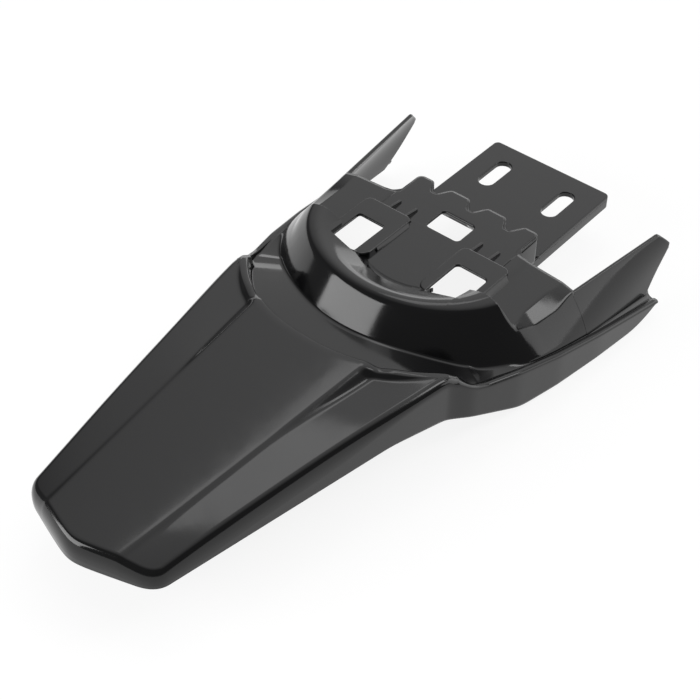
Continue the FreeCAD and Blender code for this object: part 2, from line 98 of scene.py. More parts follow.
def edge_round(y):
    """Rounding of the top of the side wall."""
    return EDGE_ROUND + (RAIL_ROUND - EDGE_ROUND) * ease(-208.0, -190.0, y)


def skirt_bottom(y):
    """Bottom edge of the side wall."""
    places = [-470.0, TAIL_Y, -250.0, -205.0, -150.0, -110.0, RAIL_FRONT, 20.0]
    values = [-1.5, -1.5, -4.4, -12.0, -32.5, -33.5, SKIRT_LOWEST, SKIRT_LOWEST]
    front = 11.5 * np.clip((np.asarray(y, float) + 48.0) / 34.0, 0.0, 1.0) ** 2
    return np.maximum(soften(y, places, values, 9.0), SKIRT_LOWEST) + front


def deck_height(x, y):
    """Top of the blade: crowned deck, ridge, scoop behind the step's lip, and flank."""
    share = np.clip((CORNER_Y - y) / (CORNER_Y - TAIL_Y), 0.0, 1.1)
    deck = DECK_AT_STEP - DECK_FALL * share
    ridge = RIDGE_AT_STEP - RIDGE_NARROWING * share
    end = outer_half(y) - EDGE_ROUND
    edge = edge_height(y)
    behind = FAN_Y - y - np.sqrt(np.maximum(STEP_RADIUS ** 2 - np.minimum(x, 100.0) ** 2, 1.0))
    lip = 1.0 - ease(2.0, 12.0, behind)
    depth = 0.8 + 5.4 * (1.0 - ease(-224.0, -318.0, y))
    valley = ridge + 1.6 + 0.85 * depth
    valley_height = deck - (0.6 * lip + depth * (1.0 - lip)) - 0.06 * (deck - edge)
    middle = valley + 0.30 * (end - valley)
    sloped = valley_height + (edge - valley_height) * 0.30
    middle_height = sloped + (deck - 1.2 - sloped) * lip * ease(-262.0, -216.0, y)

    def straight(at):
        """The same section with its corners left sharp."""
        crown = deck + DECK_CROWN * (1.0 - np.clip(at / ridge, 0.0, 1.0) ** 2)
        down = deck + (valley_height - deck) * (at - ridge) / (valley - ridge)
        floor = valley_height + (middle_height - valley_height) * (at - valley) / (middle - valley)
        flank = middle_height + (edge - middle_height) * (at - middle) / np.maximum(end - middle, 0.1)
        over = np.where(at < ridge, crown, np.where(at < valley, down, floor))
        return np.where(at < middle, over, flank)

    reach = np.minimum(2.2, np.maximum(end - x, 0.0))
    offsets = np.linspace(-1.0, 1.0, 7)
    weights = 1.15 - np.abs(offsets)
    total = sum(w * straight(np.abs(x + o * reach)) for o, w in zip(offsets, weights))
    return total / weights.sum()


def tail_line(x):
    """Rear border of the deck in plan: a blunt arrow, set in by the edge rounding."""
    return TAIL_Y + EDGE_ROUND + TAIL_SLOPE * (np.sqrt(x * x + 44.0) - 6.6)


# Borders of the right half of the deck: tail row, side, step row and middle line.
ROWS = 110
COLUMNS = 72
TAIL_CORNER_RUN = 8.5
TAIL_SHARE = 0.9
SIDE_SHARE = 0.06
corner_x = 39.5
corner_y = float(tail_line(np.array(corner_x)))
side_start = corner_y + TAIL_CORNER_RUN
side_x = float(outer_half(side_start) - EDGE_ROUND)
side_slope = (BLADE_HALF_AT_STEP - BLADE_HALF_AT_TAIL) / (CORNER_Y - TAIL_Y)
run = (side_start - corner_y - (side_x - corner_x) / side_slope) / (TAIL_SLOPE - 1.0 / side_slope)
bend = np.array([[corner_x, corner_y], [corner_x + run, corner_y + TAIL_SLOPE * run], [side_x, side_start]])
from_middle = np.linspace(0.0, 1.0, COLUMNS)
from_tail = np.linspace(0.0, 1.0, ROWS)


def bend_at(share):
    """Points on the tail's rounded corner, at shares of the way round it."""
    share = np.asarray(share)[:, None]
    return (1 - share) ** 2 * bend[0] + 2 * share * (1 - share) * bend[1] + share ** 2 * bend[2]


tail_x = corner_x * np.clip(from_middle / TAIL_SHARE, 0.0, 1.0)
tail_row = np.stack([tail_x, tail_line(tail_x)], 1)
turned = from_middle > TAIL_SHARE
tail_row[turned] = bend_at((from_middle[turned] - TAIL_SHARE) / (1.0 - TAIL_SHARE) * 0.5)
step_reach = STEP_RADIUS + STEP_EDGE
step_corner = -199.0
step_corner_x = float(outer_half(step_corner) - edge_round(step_corner))
step_x = step_corner_x * from_middle
step_row = np.stack([step_x, FAN_Y - np.sqrt(step_reach ** 2 - step_x ** 2)], 1)
step_row[-1, 1] = step_corner
step_end = FAN_Y - math.sqrt(step_reach ** 2 - step_corner_x ** 2)
step_row[:, 1] += (step_corner - step_end) * from_middle ** 4
side_run = np.clip((from_tail - SIDE_SHARE) / (1.0 - SIDE_SHARE), 0.0, 1.0)
side_y = side_start + (step_corner - side_start) * side_run
side = np.stack([outer_half(side_y) - edge_round(side_y), side_y], 1)
early = from_tail < SIDE_SHARE
side[early] = bend_at(0.5 + from_tail[early] / SIDE_SHARE * 0.5)
middle = np.stack([np.zeros(ROWS), tail_row[0, 1] + (step_row[0, 1] - tail_row[0, 1]) * from_tail], 1)

# The deck's points in plan are blended from the four borders, less what the corners count twice.
ahead = from_tail[:, None, None]
out = from_middle[None, :, None]
corners = (
    (1 - ahead) * (1 - out) * tail_row[0]
    + (1 - ahead) * out * tail_row[-1]
    + ahead * (1 - out) * step_row[0]
    + ahead * out * step_row[-1]
)
plan = (1 - out) * middle[:, None] + out * side[:, None]
plan = plan + (1 - ahead) * tail_row[None] + ahead * step_row[None]
plan = plan - corners
deck_grid = np.dstack([plan, deck_height(plan[..., 0], plan[..., 1])])

# The side wall follows the deck's border from the middle of the tail to the front of the rail.
rail_y = np.concatenate(
    [
        np.linspace(step_corner, -156.0, 40)[1:],
        np.linspace(-156.0, -136.0, 48)[1:],
        np.linspace(-136.0, PANEL_FRONT, 24)[1:],
        np.linspace(PANEL_FRONT, RAIL_FRONT, 24)[1:],
    ]
)
rail_edge = np.stack([outer_half(rail_y) - edge_round(rail_y), rail_y, edge_height(rail_y)], 1)
border = np.concatenate([deck_grid[0], deck_grid[1:, -1], rail_edge])
along = np.gradient(border[:, :2], axis=0)
along[0] = [1.0, 0.0]
outward = np.stack([along[:, 1], -along[:, 0]], 1)
outward /= np.linalg.norm(outward, axis=1)[:, None]
rounding = edge_round(border[:, 1])
fullness = 1.0 + 1.3 * ease(-218.0, -300.0, border[:, 1])
wall_height = border[:, 2] - skirt_bottom(border[:, 1])
tall = np.minimum(rounding * fullness, np.maximum(0.8 * wall_height, rounding * 0.9))
wall_rows = [border]
for angle in np.radians(np.linspace(0.0, 90.0, 7)[1:]):
    shift = outward * (rounding * math.sin(angle))[:, None]
    drop = tall * (1.0 - math.cos(angle))
    wall_rows.append(np.column_stack([border[:, :2] + shift, border[:, 2] - drop]))
foot = np.minimum(skirt_bottom(border[:, 1]), wall_rows[6][:, 2] - 0.4)
for share in (0.06, 0.4, 0.75, 0.96, 1.0):
    top = wall_rows[6]
    wall_rows.append(np.column_stack([top[:, :2], top[:, 2] + (foot - top[:, 2]) * share]))
side_grid = np.stack(wall_rows, 1)

# Saddle, troughs, collar and rim.
# The same moulding drops from the blade's step into a saddle, climbs the coved collar wall and rolls
# over a dished rim. Beside the arms the saddle narrows to a trough behind the rail.
# Half width of the collar wall by level, at its middle and at the front of the arms.
LEVELS = np.array([-40.0, 2.0, 15.0, 28.0, 38.5])
HALF = np.polyfit(LEVELS, [113.0, 103.0, 91.5, 80.5, 70.0], 3)
SPREAD = np.polyfit(LEVELS, [124.0, 113.8, 110.9, 102.0, 88.0], 3)
ARM_FRONT = 24.0
HUMP_END = -138.0
SKIN_WALL = 2.6
MERGE = 0.02 * MM
# Ovals of the rim round the collar's middle: half width, depth to the rear and height.
SHOULDER = (80.0, 63.5, 33.8)
CREST = (70.0, 57.5, 36.2)
DISH = (53.0, 44.5, 28.7)
PAN_EDGE = (40.0, 31.5, 21.6)


def station_line(edge):
    """Line in plan from an edge point to the part's middle: edge X and Y, then Y at the middle."""
    if edge[1] >= HUMP_END:
        return edge[0], edge[1], edge[1]
    turned = np.clip((edge[1] - step_corner) / (HUMP_END - step_corner), 0.0, 1.0)
    return edge[0], edge[1], FAN_Y + (HUMP_END - FAN_Y) * turned ** 2


def on_line(line, share, height):
    """Point a share of the way along a station line, from the middle to the edge."""
    return np.array([line[0] * share, line[2] + (line[1] - line[2]) * share, height])


def oval(line, half, depth, height):
    """Point where a station line meets an oval round the collar's middle, or its straight sides."""
    if line[1] >= FAN_Y:
        return on_line(line, half / line[0], height)
    start = line[2] - FAN_Y
    run = line[1] - line[2]
    square = (line[0] / half) ** 2 + (run / depth) ** 2
    double = 2.0 * run * start / depth ** 2
    rest = (start / depth) ** 2 - 1.0
    return on_line(line, (math.sqrt(double ** 2 - 4.0 * square * rest) - double) / (2.0 * square), height)


def collar_point(line, height, depth=74.0):
    """Point on the collar wall, or on the outside of an arm, on a station line."""
    half = np.polyval(HALF, height)
    share = max(line[1] - FAN_Y, 0.0) / (ARM_FRONT - FAN_Y)
    wide = half + (np.polyval(SPREAD, height) - half) * share
    return oval(line, wide, depth, height)


def rolled(points, radii, steps=4):
    """A profile with each inner corner rolled over its radius, with even counts of points."""
    points = [np.asarray(point, float) for point in points]
    result = [points[0]]
    for before, here, after, radius in zip(points, points[1:], points[2:], radii):
        back = before - here
        ahead = after - here
        back_length = np.linalg.norm(back) + 1e-9
        ahead_length = np.linalg.norm(ahead) + 1e-9
        start = here + back / back_length * min(radius, 0.46 * back_length)
        end = here + ahead / ahead_length * min(radius, 0.46 * ahead_length)
        for share in np.linspace(0.0, 1.0, steps + 1):
            result.append((1 - share) ** 2 * start + 2 * share * (1 - share) * here + share * share * end)
    result.append(points[-1])
    return result


def mix(first, second, share):
    """A number or a point between two others."""
    return first + (second - first) * share


def station_profile(edge, full):
    """Profile from the step or rail, over the saddle and collar wall, to the pan.

    Five shares run from 0 to 1 along the part: railed from step to rail, fallen from saddle to trough,
    low from the rim to the flat panel, beside from collar wall to arm, and bulge over the panel's facet.
    """
    line = station_line(edge)
    inward = np.array([-line[0], line[2] - line[1], 0.0])
    inward /= np.linalg.norm(inward)
    railed = float(ease(-203.0, -188.0, edge[1]))
    lip = edge + inward * mix(STEP_EDGE, 1.5, railed)
    turn = 1.0 - math.cos(math.atan2(edge[0], max(FAN_Y - edge[1], 1e-6)))
    fallen = float(ease(0.0, 0.55, turn))
    floor = min(mix(13.0, 2.5, fallen), edge[2] - mix(3.0, 1.4, float(ease(-195.0, -150.0, edge[1]))))
    base = collar_point(line, floor + 2.0 * float(ease(-180.0, -150.0, edge[1])), mix(80.0, 76.0, fallen))
    riser = lip + inward * mix(1.8, 1.4, railed)
    riser[2] = min(edge[2] - mix(3.0, 1.0, railed), floor + mix(2.5, 0.3, railed))
    if not full:
        grip = collar_point(line, floor + 5.0) + inward * 0.3
        return rolled([edge, lip, riser, base, grip], [1.2, 1.2, 1.6])
    shoulder = oval(line, *SHOULDER)
    rim_y = shoulder[1]
    low = float(ease(HUMP_END - 5.0, HUMP_END + 0.5, rim_y))
    wide = max(line[0], 60.0)
    beside = float(ease(-172.0, HUMP_END - 5.0, rim_y))
    bulge = float(ease(-139.0, -122.0, edge[1]) * (1.0 - ease(-106.0, -85.0, edge[1])))
    facet = collar_point(line, mix(15.4, 12.2, bulge))
    waist = mix(mix(base, shoulder, 0.45), facet, beside)
    wall = []
    for share in (0.25, 0.5, 0.75):
        upright = collar_point(line, mix(base[2], waist[2], share))
        wall.append(mix(mix(base, waist, share), upright, beside))
    wall.append(waist)
    bevel = on_line(line, mix(87.6, 85.2, bulge) / wide, 18.0)
    belly = mix(waist, shoulder, 0.5) - inward * 1.2 * beside
    wall.append(mix(belly, mix(waist, bevel, 0.4), low))
    wall.append(mix(shoulder, mix(waist, bevel, 0.8), low))
    crest = mix(oval(line, *CREST), bevel, low)
    dish = mix(oval(line, *DISH), on_line(line, 62.0 / wide, 19.8), low)
    pan = mix(oval(line, *PAN_EDGE), on_line(line, 51.8 / wide, 21.7), low)
    foot_radii = [mix(3.0, 1.6, railed), 1.4, 2.4]
    wall_radii = [4.0, 4.0, 4.0, mix(9.0, 1.5, low), 9.0]
    rim_radii = [mix(2.6, 1.2, low), mix(7.0, 1.2, low), mix(8.0, 2.0, low)]
    points = [edge, lip, riser, base] + wall + [crest, dish, pan]
    return rolled(points, foot_radii + wall_radii + rim_radii)


rail_count = int((rail_y <= PANEL_FRONT + 1e-6).sum())
full_edges = np.concatenate([deck_grid[-1], rail_edge[:rail_count]])
collar_grid = np.array([station_profile(edge, True) for edge in full_edges])
trough_grid = np.array([station_profile(edge, False) for edge in rail_edge[rail_count - 1:]])


def add_grid(mesh, grid):
    """Adds a grid of points in millimetres as quads."""
    rows, columns = grid.shape[:2]
    verts = [[mesh.verts.new(Vector(point) * MM) for point in row] for row in grid]
    for i in range(rows - 1):
        for j in range(columns - 1):
            quad = [verts[i][j], verts[i + 1][j], verts[i + 1][j + 1], verts[i][j + 1]]
            mesh.faces.new(quad)


skin = bmesh.new()
for grid in (deck_grid, side_grid, collar_grid, trough_grid):
    add_grid(skin, grid)
bmesh.ops.remove_doubles(skin, verts=skin.verts, dist=MERGE)

# The side windows run back into the rim, so their straight edges are cut into the skin.
WINDOW = {"inner": 29.4, "outer": 54.0, "rear": -156.0, "front": -121.0}
FRAME_UNDERSIDE = 23.2


def in_box(face, low_corner, high_corner):
    """Whether the middle of a face lies between two corners in millimetres."""
    at = face.calc_center_median() / MM
    return all(low < value < high for low, value, high in zip(low_corner, at, high_corner))


near = [face for face in skin.faces if in_box(face, (20.0, -165.0, 16.0), (62.0, -112.0, 50.0))]
for place, normal in (
    ((WINDOW["inner"], 0, 0), (1, 0, 0)),
    ((WINDOW["outer"], 0, 0), (1, 0, 0)),
    ((0, WINDOW["rear"], 0), (0, 1, 0)),
    ((0, WINDOW["front"], 0), (0, 1, 0)),
):
    region = [face for face in near if face.is_valid]
    region_edges = dict.fromkeys(edge for face in region for edge in face.edges)
    region_verts = dict.fromkeys(vert for face in region for vert in face.verts)
    geometry = region + list(region_edges) + list(region_verts)
    cut = bmesh.ops.bisect_plane(skin, geom=geometry, plane_co=Vector(place) * MM, plane_no=normal)
    cut_faces = [item for item in cut["geom"] if isinstance(item, bmesh.types.BMFace)]
    near = list(dict.fromkeys(cut_faces + region))
near = [face for face in near if face.is_valid]
window_low = (WINDOW["inner"], WINDOW["rear"], 0.0)
window_high = (WINDOW["outer"], WINDOW["front"], 50.0)
inside = [face for face in near if in_box(face, window_low, window_high)]
bmesh.ops.delete(skin, geom=inside, context="FACES")
# Below the raised floor the skin stops short of the window, so that only one thin wall frames it.
below_low = (WINDOW["outer"] - 4.0, WINDOW["rear"], -50.0)
below_high = (WINDOW["outer"] + 4.0, WINDOW["front"] + 3.0, FRAME_UNDERSIDE)
below = [face for face in skin.faces if in_box(face, below_low, below_high)]
bmesh.ops.delete(skin, geom=below, context="FACES")

# The cut edges are turned down, so that the windows show a wall and not a paper-thin edge.
NEAR_EDGE = 0.1
turned_down = []
for edge in skin.edges:
    x = (edge.verts[0].co.x + edge.verts[1].co.x) / 2 / MM
    y = (edge.verts[0].co.y + edge.verts[1].co.y) / 2 / MM
    across = min(abs(x - WINDOW["inner"]), abs(x - WINDOW["outer"]))
    along_it = min(abs(y - WINDOW["rear"]), abs(y - WINDOW["front"]))
    between_sides = WINDOW["inner"] - NEAR_EDGE < x < WINDOW["outer"] + NEAR_EDGE
    between_ends = WINDOW["rear"] - NEAR_EDGE < y < WINDOW["front"] + NEAR_EDGE
    if edge.is_boundary and between_sides and between_ends and min(across, along_it) < NEAR_EDGE:
        turned_down.append(edge)
        edge.smooth = False
reveal = bmesh.ops.extrude_edge_only(skin, edges=turned_down)
for vert in [item for item in reveal["geom"] if isinstance(item, bmesh.types.BMVert)]:
    vert.co.z = min(vert.co.z, FRAME_UNDERSIDE * MM)

# The right half is mirrored to the left, joined along the middle and given its wall.
for vert in skin.verts:
    if abs(vert.co.x) < 0.01 * MM:
        vert.co.x = 0.0
mirror = bmesh.ops.duplicate(skin, geom=skin.verts[:] + skin.edges[:] + skin.faces[:])
for vert in [item for item in mirror["geom"] if isinstance(item, bmesh.types.BMVert)]:
    vert.co.x = -vert.co.x
left_faces = [item for item in mirror["geom"] if isinstance(item, bmesh.types.BMFace)]
bmesh.ops.reverse_faces(skin, faces=left_faces)
bmesh.ops.remove_doubles(skin, verts=skin.verts, dist=MERGE)
bmesh.ops.recalc_face_normals(skin, faces=skin.faces)
upward = sum(face.normal.z * face.calc_area() for face in skin.faces)
if upward < 0:
    bmesh.ops.reverse_faces(skin, faces=skin.faces)
skin_mesh = bpy.data.meshes.new("mudguard_skin")
skin.to_mesh(skin_mesh)
skin.free()
for polygon in skin_mesh.polygons:
    polygon.use_smooth = True
shell = bpy.data.objects.new("mudguard", skin_mesh)
scene.collection.objects.link(shell)
thick = shell.modifiers.new("wall", "SOLIDIFY")
thick.thickness = SKIN_WALL * MM
thick.offset = -1.0
thick.use_even_offset = False

# Arms.
# Each side of the collar wall runs forward as a thin upright fin with a slanted, rounded front end.
# The fins are moulded in one with the collar and stand a hair proud of it where they start.
FIN_REAR = -86.5
FIN_WALL = 3.2
FIN_FOOT = -27.0
FIN_TOP = 13.3
FIN_PROUD = 0.06


def fin_front(height):
    """Front edge of a fin in side view."""
    return soften(height, [-40.0, -21.0, 3.0, 15.0, 20.0], [-36.0, -15.0, 11.6, 0.0, -5.0], 2.5)


def fin_ring(share):
    """Cross line of a fin, up the outer face, over the top and down the inner face."""
    outer = []
    inner = []
    for height in np.linspace(FIN_FOOT, FIN_TOP, 14):
        reach = float(fin_front(height))
        y = FIN_REAR + (reach - FIN_REAR) * share
        at = collar_point((1.0, y, y), height)
        at[0] += FIN_PROUD
        outer.append(at)
        inner.append(at - np.array([FIN_WALL, 0.0, 0.0]))
    y_top = FIN_REAR + (float(fin_front(15.0)) - FIN_REAR) * share
    at = collar_point((1.0, y_top, y_top), 14.0)
    tops = []
    for angle in np.radians(np.linspace(20.0, 160.0, 7)):
        across = FIN_WALL / 2.0 * (1.0 - math.cos(angle))
        tops.append(np.array([at[0] - across, at[1], FIN_TOP + FIN_WALL / 2.0 * math.sin(angle)]))
    return outer + tops + inner[::-1]


fin = bmesh.new()
fin_shares = np.concatenate([np.linspace(0.0, 0.97, 30), [0.985, 1.0]])
fin_rings = [fin_ring(share) for share in fin_shares]
end_ring = fin_rings[-1]
centre_line = [(here + across) / 2 for here, across in zip(end_ring, end_ring[::-1])]
blunt = [mix(here, centre, 0.35) + np.array([0.0, 0.7, 0.0]) for here, centre in zip(end_ring, centre_line)]
tip = [centre + np.array([0.0, 1.0, 0.0]) for centre in centre_line]
add_grid(fin, np.array(fin_rings + [blunt, tip]))
other = bmesh.ops.duplicate(fin, geom=fin.verts[:] + fin.edges[:] + fin.faces[:])
for vert in [item for item in other["geom"] if isinstance(item, bmesh.types.BMVert)]:
    vert.co.x = -vert.co.x
bmesh.ops.remove_doubles(fin, verts=fin.verts, dist=MERGE)
bmesh.ops.recalc_face_normals(fin, faces=fin.faces)
fin_mesh = bpy.data.meshes.new("mudguard_fins")
fin.to_mesh(fin_mesh)
fin.free()
for polygon in fin_mesh.polygons:
    polygon.use_smooth = True
fins = bpy.data.objects.new("mudguard_fins", fin_mesh)
scene.collection.objects.link(fins)

# Pan, fluted nose and plate.
# The flat front of the moulding: pan floor and raised floors with their windows, the fluted nose
# wall and the slotted plate with its turned-down edge. All have small soft edges from the mould, and
# the plate is what bolts the mudguard to the machine.
PAN_HEIGHT = 22.0
PAN_UNDERSIDE = 19.2
PAN_REAR = -163.5
PAN_REAR_HALF = 23.5
PAN_HALF = 52.0
PLATE_HALF = 50.0
PLATE_FRONT = 32.95
NOSE_FRONT = -59.0
NOSE_REAR = -87.0
FLUTE_PITCH = 31.0
FLUTE_DEPTH = 10.0
NOSE_HALF = 46.5
NOSE_CORNER = 3.5
NOSE_WALL = 2.4
NOOK = 9.0
PLATEAU = {"inner": 21.7, "outer": 60.0, "front": -103.5, "rear": -158.0, "height": 25.5}
PLATEAU_CORNER = 5.0
PLATEAU_REAR_CORNER = 7.6
PLATEAU_WALL = 3.6
PLATEAU_LEAN = 0.55


def corner_arc(x, y, radius, first, last, steps=6):
    """Points of an arc in plan, between two angles in degrees."""
    turns = np.radians(np.linspace(first, last, steps))
    return [(x + radius * math.cos(turn), y + radius * math.sin(turn)) for turn in turns]


def rounded_box(left, right, back, front, radius):
    """Plan outline of a rectangle with rounded corners."""
    return (
        corner_arc(right - radius, back + radius, radius, -90, 0)
        + corner_arc(right - radius, front - radius, radius, 0, 90)
        + corner_arc(left + radius, front - radius, radius, 90, 180)
        + corner_arc(left + radius, back + radius, radius, 180, 270)
    )


def nose_front_line(depth):
    """Wavy front of the nose in plan, from the left side to the right."""
    across = np.linspace(-NOSE_HALF, NOSE_HALF, 97)
    beyond = np.abs((across + FLUTE_PITCH / 2.0) % FLUTE_PITCH - FLUTE_PITCH / 2.0)
    wave = NOSE_FRONT - depth * (1.0 - ease(1.5, 9.5, beyond))
    left = corner_arc(-NOSE_HALF, NOSE_FRONT - NOSE_CORNER, NOSE_CORNER, 180, 95, 5)
    right = [(-x, y) for x, y in left[::-1]]
    return left + list(zip(across, wave)) + right


def moulded_plate(name, outlines, low, high, roundness):
    """A flat plate between two heights with rounded edges; outlines after the first are holes."""
    curve = bpy.data.curves.new(name, "CURVE")
    curve.dimensions = "2D"
    curve.fill_mode = "BOTH"
    curve.extrude = ((high - low) / 2.0 - roundness) * MM
    curve.bevel_depth = roundness * MM
    curve.bevel_resolution = 2
    curve.offset = -roundness * MM
    for outline in outlines:
        spline = curve.splines.new("POLY")
        spline.points.add(len(outline) - 1)
        for point, (x, y) in zip(spline.points, outline):
            point.co = (x * MM, y * MM, 0.0, 1.0)
        spline.use_cyclic_u = True
    drawn = bpy.data.objects.new(name, curve)
    scene.collection.objects.link(drawn)
    mesh = bpy.data.meshes.new_from_object(drawn.evaluated_get(bpy.context.evaluated_depsgraph_get()))
    bpy.data.objects.remove(drawn)
    plate = bmesh.new()
    plate.from_mesh(mesh)
    for vert in plate.verts:
        vert.co.z += (low + high) / 2.0 * MM
    bmesh.ops.remove_doubles(plate, verts=plate.verts, dist=0.005 * MM)
    bmesh.ops.recalc_face_normals(plate, faces=plate.faces)
    plate.to_mesh(mesh)
    plate.free()
    return mesh


nose_top = nose_front_line(FLUTE_DEPTH)
floor_front = PLATEAU["front"] - 1.0
pan_right = [(PLATE_HALF, PANEL_FRONT + 1.0), (PAN_HALF, PANEL_FRONT), (PAN_HALF, floor_front)]
pan_right += [(PAN_REAR_HALF, floor_front), (PAN_REAR_HALF, PAN_REAR)]
pan_left = [(-x, y) for x, y in pan_right[::-1]]
pan_outline = [pan_left[-1]] + nose_top + pan_right + pan_left[:-1]
middle_window = rounded_box(-13.6, 13.6, -100.0, -80.0, 3.0)
front_meshes = [moulded_plate("pan_floor", [pan_outline, middle_window], PAN_UNDERSIDE, PAN_HEIGHT, 1.2)]

# Each raised floor is a thin plate with a window, on a wall that leans out at both sides.
arc_outer_x = PLATEAU["outer"] - PLATEAU_CORNER
arc_inner_x = PLATEAU["inner"] + PLATEAU_CORNER
arc_front_y = PLATEAU["front"] - PLATEAU_CORNER
raised_right = corner_arc(arc_outer_x, PLATEAU["rear"] + PLATEAU_CORNER, PLATEAU_CORNER, -90, 0)
raised_right += corner_arc(arc_outer_x, arc_front_y, PLATEAU_CORNER, 0, 90)
raised_right += corner_arc(arc_inner_x, arc_front_y, PLATEAU_CORNER, 90, 180)
raised_right += corner_arc(
    PLATEAU["inner"] + PLATEAU_REAR_CORNER, PLATEAU["rear"] + 10.0, PLATEAU_REAR_CORNER, 180, 270
)
raised_left = [(-x, y) for x, y in raised_right[::-1]]
leaning_sides = (
    {"edge": PLATEAU["outer"], "away": 1, "rear": -152.0, "foot": 18.4},
    {"edge": PLATEAU["inner"], "away": -1, "rear": -143.0, "foot": 20.8},
)
for side, raised in ((-1, raised_left), (1, raised_right)):
    holes = sorted((side * WINDOW["inner"], side * WINDOW["outer"]))
    window = rounded_box(holes[0], holes[1], WINDOW["rear"], WINDOW["front"], 3.0)
    front_meshes.append(moulded_plate("raised_floor", [raised, window], 23.0, PLATEAU["height"], 1.1))
    across = sorted((side * (PLATEAU["inner"] + PLATEAU_WALL), side * (PLATEAU["outer"] - PLATEAU_WALL)))
    hollow_front = PLATEAU["front"] - PLATEAU_WALL
    hollow = rounded_box(across[0], across[1], PLATEAU["rear"] + 1.5, hollow_front, 3.0)
    front_meshes.append(moulded_plate("raised_wall", [raised, hollow], 19.6, PLATEAU["height"] - 0.6, 0.7))
    for leaning in leaning_sides:
        away = leaning["away"]
        across = sorted((side * leaning["edge"], side * (leaning["edge"] - away * PLATEAU_WALL)))
        strip = rounded_box(across[0], across[1], leaning["rear"], PLATEAU["front"] - 4.0, 1.5)
        strip_mesh = moulded_plate("raised_side", [strip], leaning["foot"], PLATEAU["height"] - 0.4, 0.7)
        for vert in strip_mesh.vertices:
            if away * (abs(vert.co.x) / MM - leaning["edge"]) > -1.8:
                vert.co.x += side * away * PLATEAU_LEAN * ((PLATEAU["height"] - 1.0) * MM - vert.co.z)
        front_meshes.append(strip_mesh)

# The plate has two slots for the bolts and a turned-down edge on three sides.
SLOT_AT = 27.5
SLOT_HALF_WIDTH = 6.0
SLOT_HALF_LENGTH = 16.0
slots = []
for middle_x in (-SLOT_AT, SLOT_AT):
    slot_left = middle_x - SLOT_HALF_WIDTH
    slot_right = middle_x + SLOT_HALF_WIDTH
    slots.append(rounded_box(slot_left, slot_right, -SLOT_HALF_LENGTH, SLOT_HALF_LENGTH, 5.99))
plate_outline = rounded_box(-PLATE_HALF, PLATE_HALF, NOSE_FRONT + 0.8, PLATE_FRONT, 4.0)
front_meshes.append(moulded_plate("plate", [plate_outline] + slots, -4.5, 0.0, 1.0))
flange_half = corner_arc(PLATE_HALF - 4.0, PLATE_FRONT - 4.0, 4.0, 0, 90)
flange_half = [(PLATE_HALF - 3.0, NOSE_REAR), (PLATE_HALF, NOSE_REAR)] + flange_half
inside_half = [(PLATE_HALF - 3.0, PLATE_FRONT - 3.0)]
flange = flange_half + [(-x, y) for x, y in flange_half[::-1]]
flange += [(-x, y) for x, y in inside_half] + inside_half
front_meshes.append(moulded_plate("flange", [flange], -10.0, -1.2, 0.8))

# A small web rounds off the corner between the nose's side and each panel.
web = [(PLATE_HALF - 2.0, PANEL_FRONT - 2.0), (PLATE_HALF + NOOK + 2.0, PANEL_FRONT - 2.0)]
web += corner_arc(PLATE_HALF + NOOK, PANEL_FRONT + NOOK, NOOK, 270, 180, 10)
web += [(PLATE_HALF - 2.0, PANEL_FRONT + NOOK)]
for outline in (web, [(-x, y) for x, y in web[::-1]]):
    web_mesh = moulded_plate("web", [outline], 18.6, 21.6, 0.5)
    for vert in web_mesh.vertices:
        vert.co.z -= 0.19 * max(abs(vert.co.x) - PAN_HALF * MM, 0.0)
    front_meshes.append(web_mesh)

# The nose wall leans forward in each flute, from the wavy edge of the pan down to the plate.
nose_rows = []
for height in (PAN_HEIGHT - 1.0, 18.0, 14.0, 10.0, 6.0, 3.0, 1.0, -0.5):
    sides_line = nose_front_line(FLUTE_DEPTH * (max(height, 0.0) / PAN_HEIGHT) ** 0.45)
    row = [(-PLATE_HALF, NOSE_REAR)] + sides_line + [(PLATE_HALF, NOSE_REAR)]
    nose_rows.append([(x, y, height) for x, y in row])
nose = bmesh.new()
add_grid(nose, np.array(nose_rows))
bmesh.ops.recalc_face_normals(nose, faces=nose.faces)
nose_mesh = bpy.data.meshes.new("nose")
nose.to_mesh(nose_mesh)
nose.free()
nose_object = bpy.data.objects.new("nose", nose_mesh)
scene.collection.objects.link(nose_object)
nose_wall = nose_object.modifiers.new("wall", "SOLIDIFY")
nose_wall.thickness = NOSE_WALL * MM
nose_wall.offset = 0.0

# Plastic.
# Polypropylene coloured black in the mass, injection moulded against a polished steel mould.
# It has a smooth gloss skin, so the eye sees a nearly black body under clear, slightly wavy
# reflections, a little duller in patches where it has been handled.
GLOSS = 0.08
HANDLED = 0.15
WAVE = 11.0 * MM
WAVE_HEIGHT = 0.03 * MM
PEEL = 1.6 * MM
PEEL_HEIGHT = 0.0015 * MM
PATCH = 30.0 * MM


def linear(code):
    """An sRGB hex colour as linear RGBA."""
    values = [int(code[i:i + 2], 16) / 255 for i in (1, 3, 5)]
    return [c / 12.92 if c <= 0.04045 else ((c + 0.055) / 1.055) ** 2.4 for c in values] + [1.0]


def add_node(tree, kind, settings=(), links=()):
    """Adds a node with its settings and the links into it."""
    node = tree.nodes.new(kind)
    for name, value in dict(settings).items():
        if isinstance(name, str) and hasattr(node, name):
            setattr(node, name, value)
        else:
            node.inputs[name].default_value = value
    for socket, name in links:
        tree.links.new(socket, node.inputs[name])
    return node


plastic = bpy.data.materials.new("moulded_black_polypropylene")
plastic.use_nodes = True
plastic_tree = plastic.node_tree
shader = plastic_tree.nodes["Principled BSDF"]
shader.inputs["Base Color"].default_value = linear("#101011")
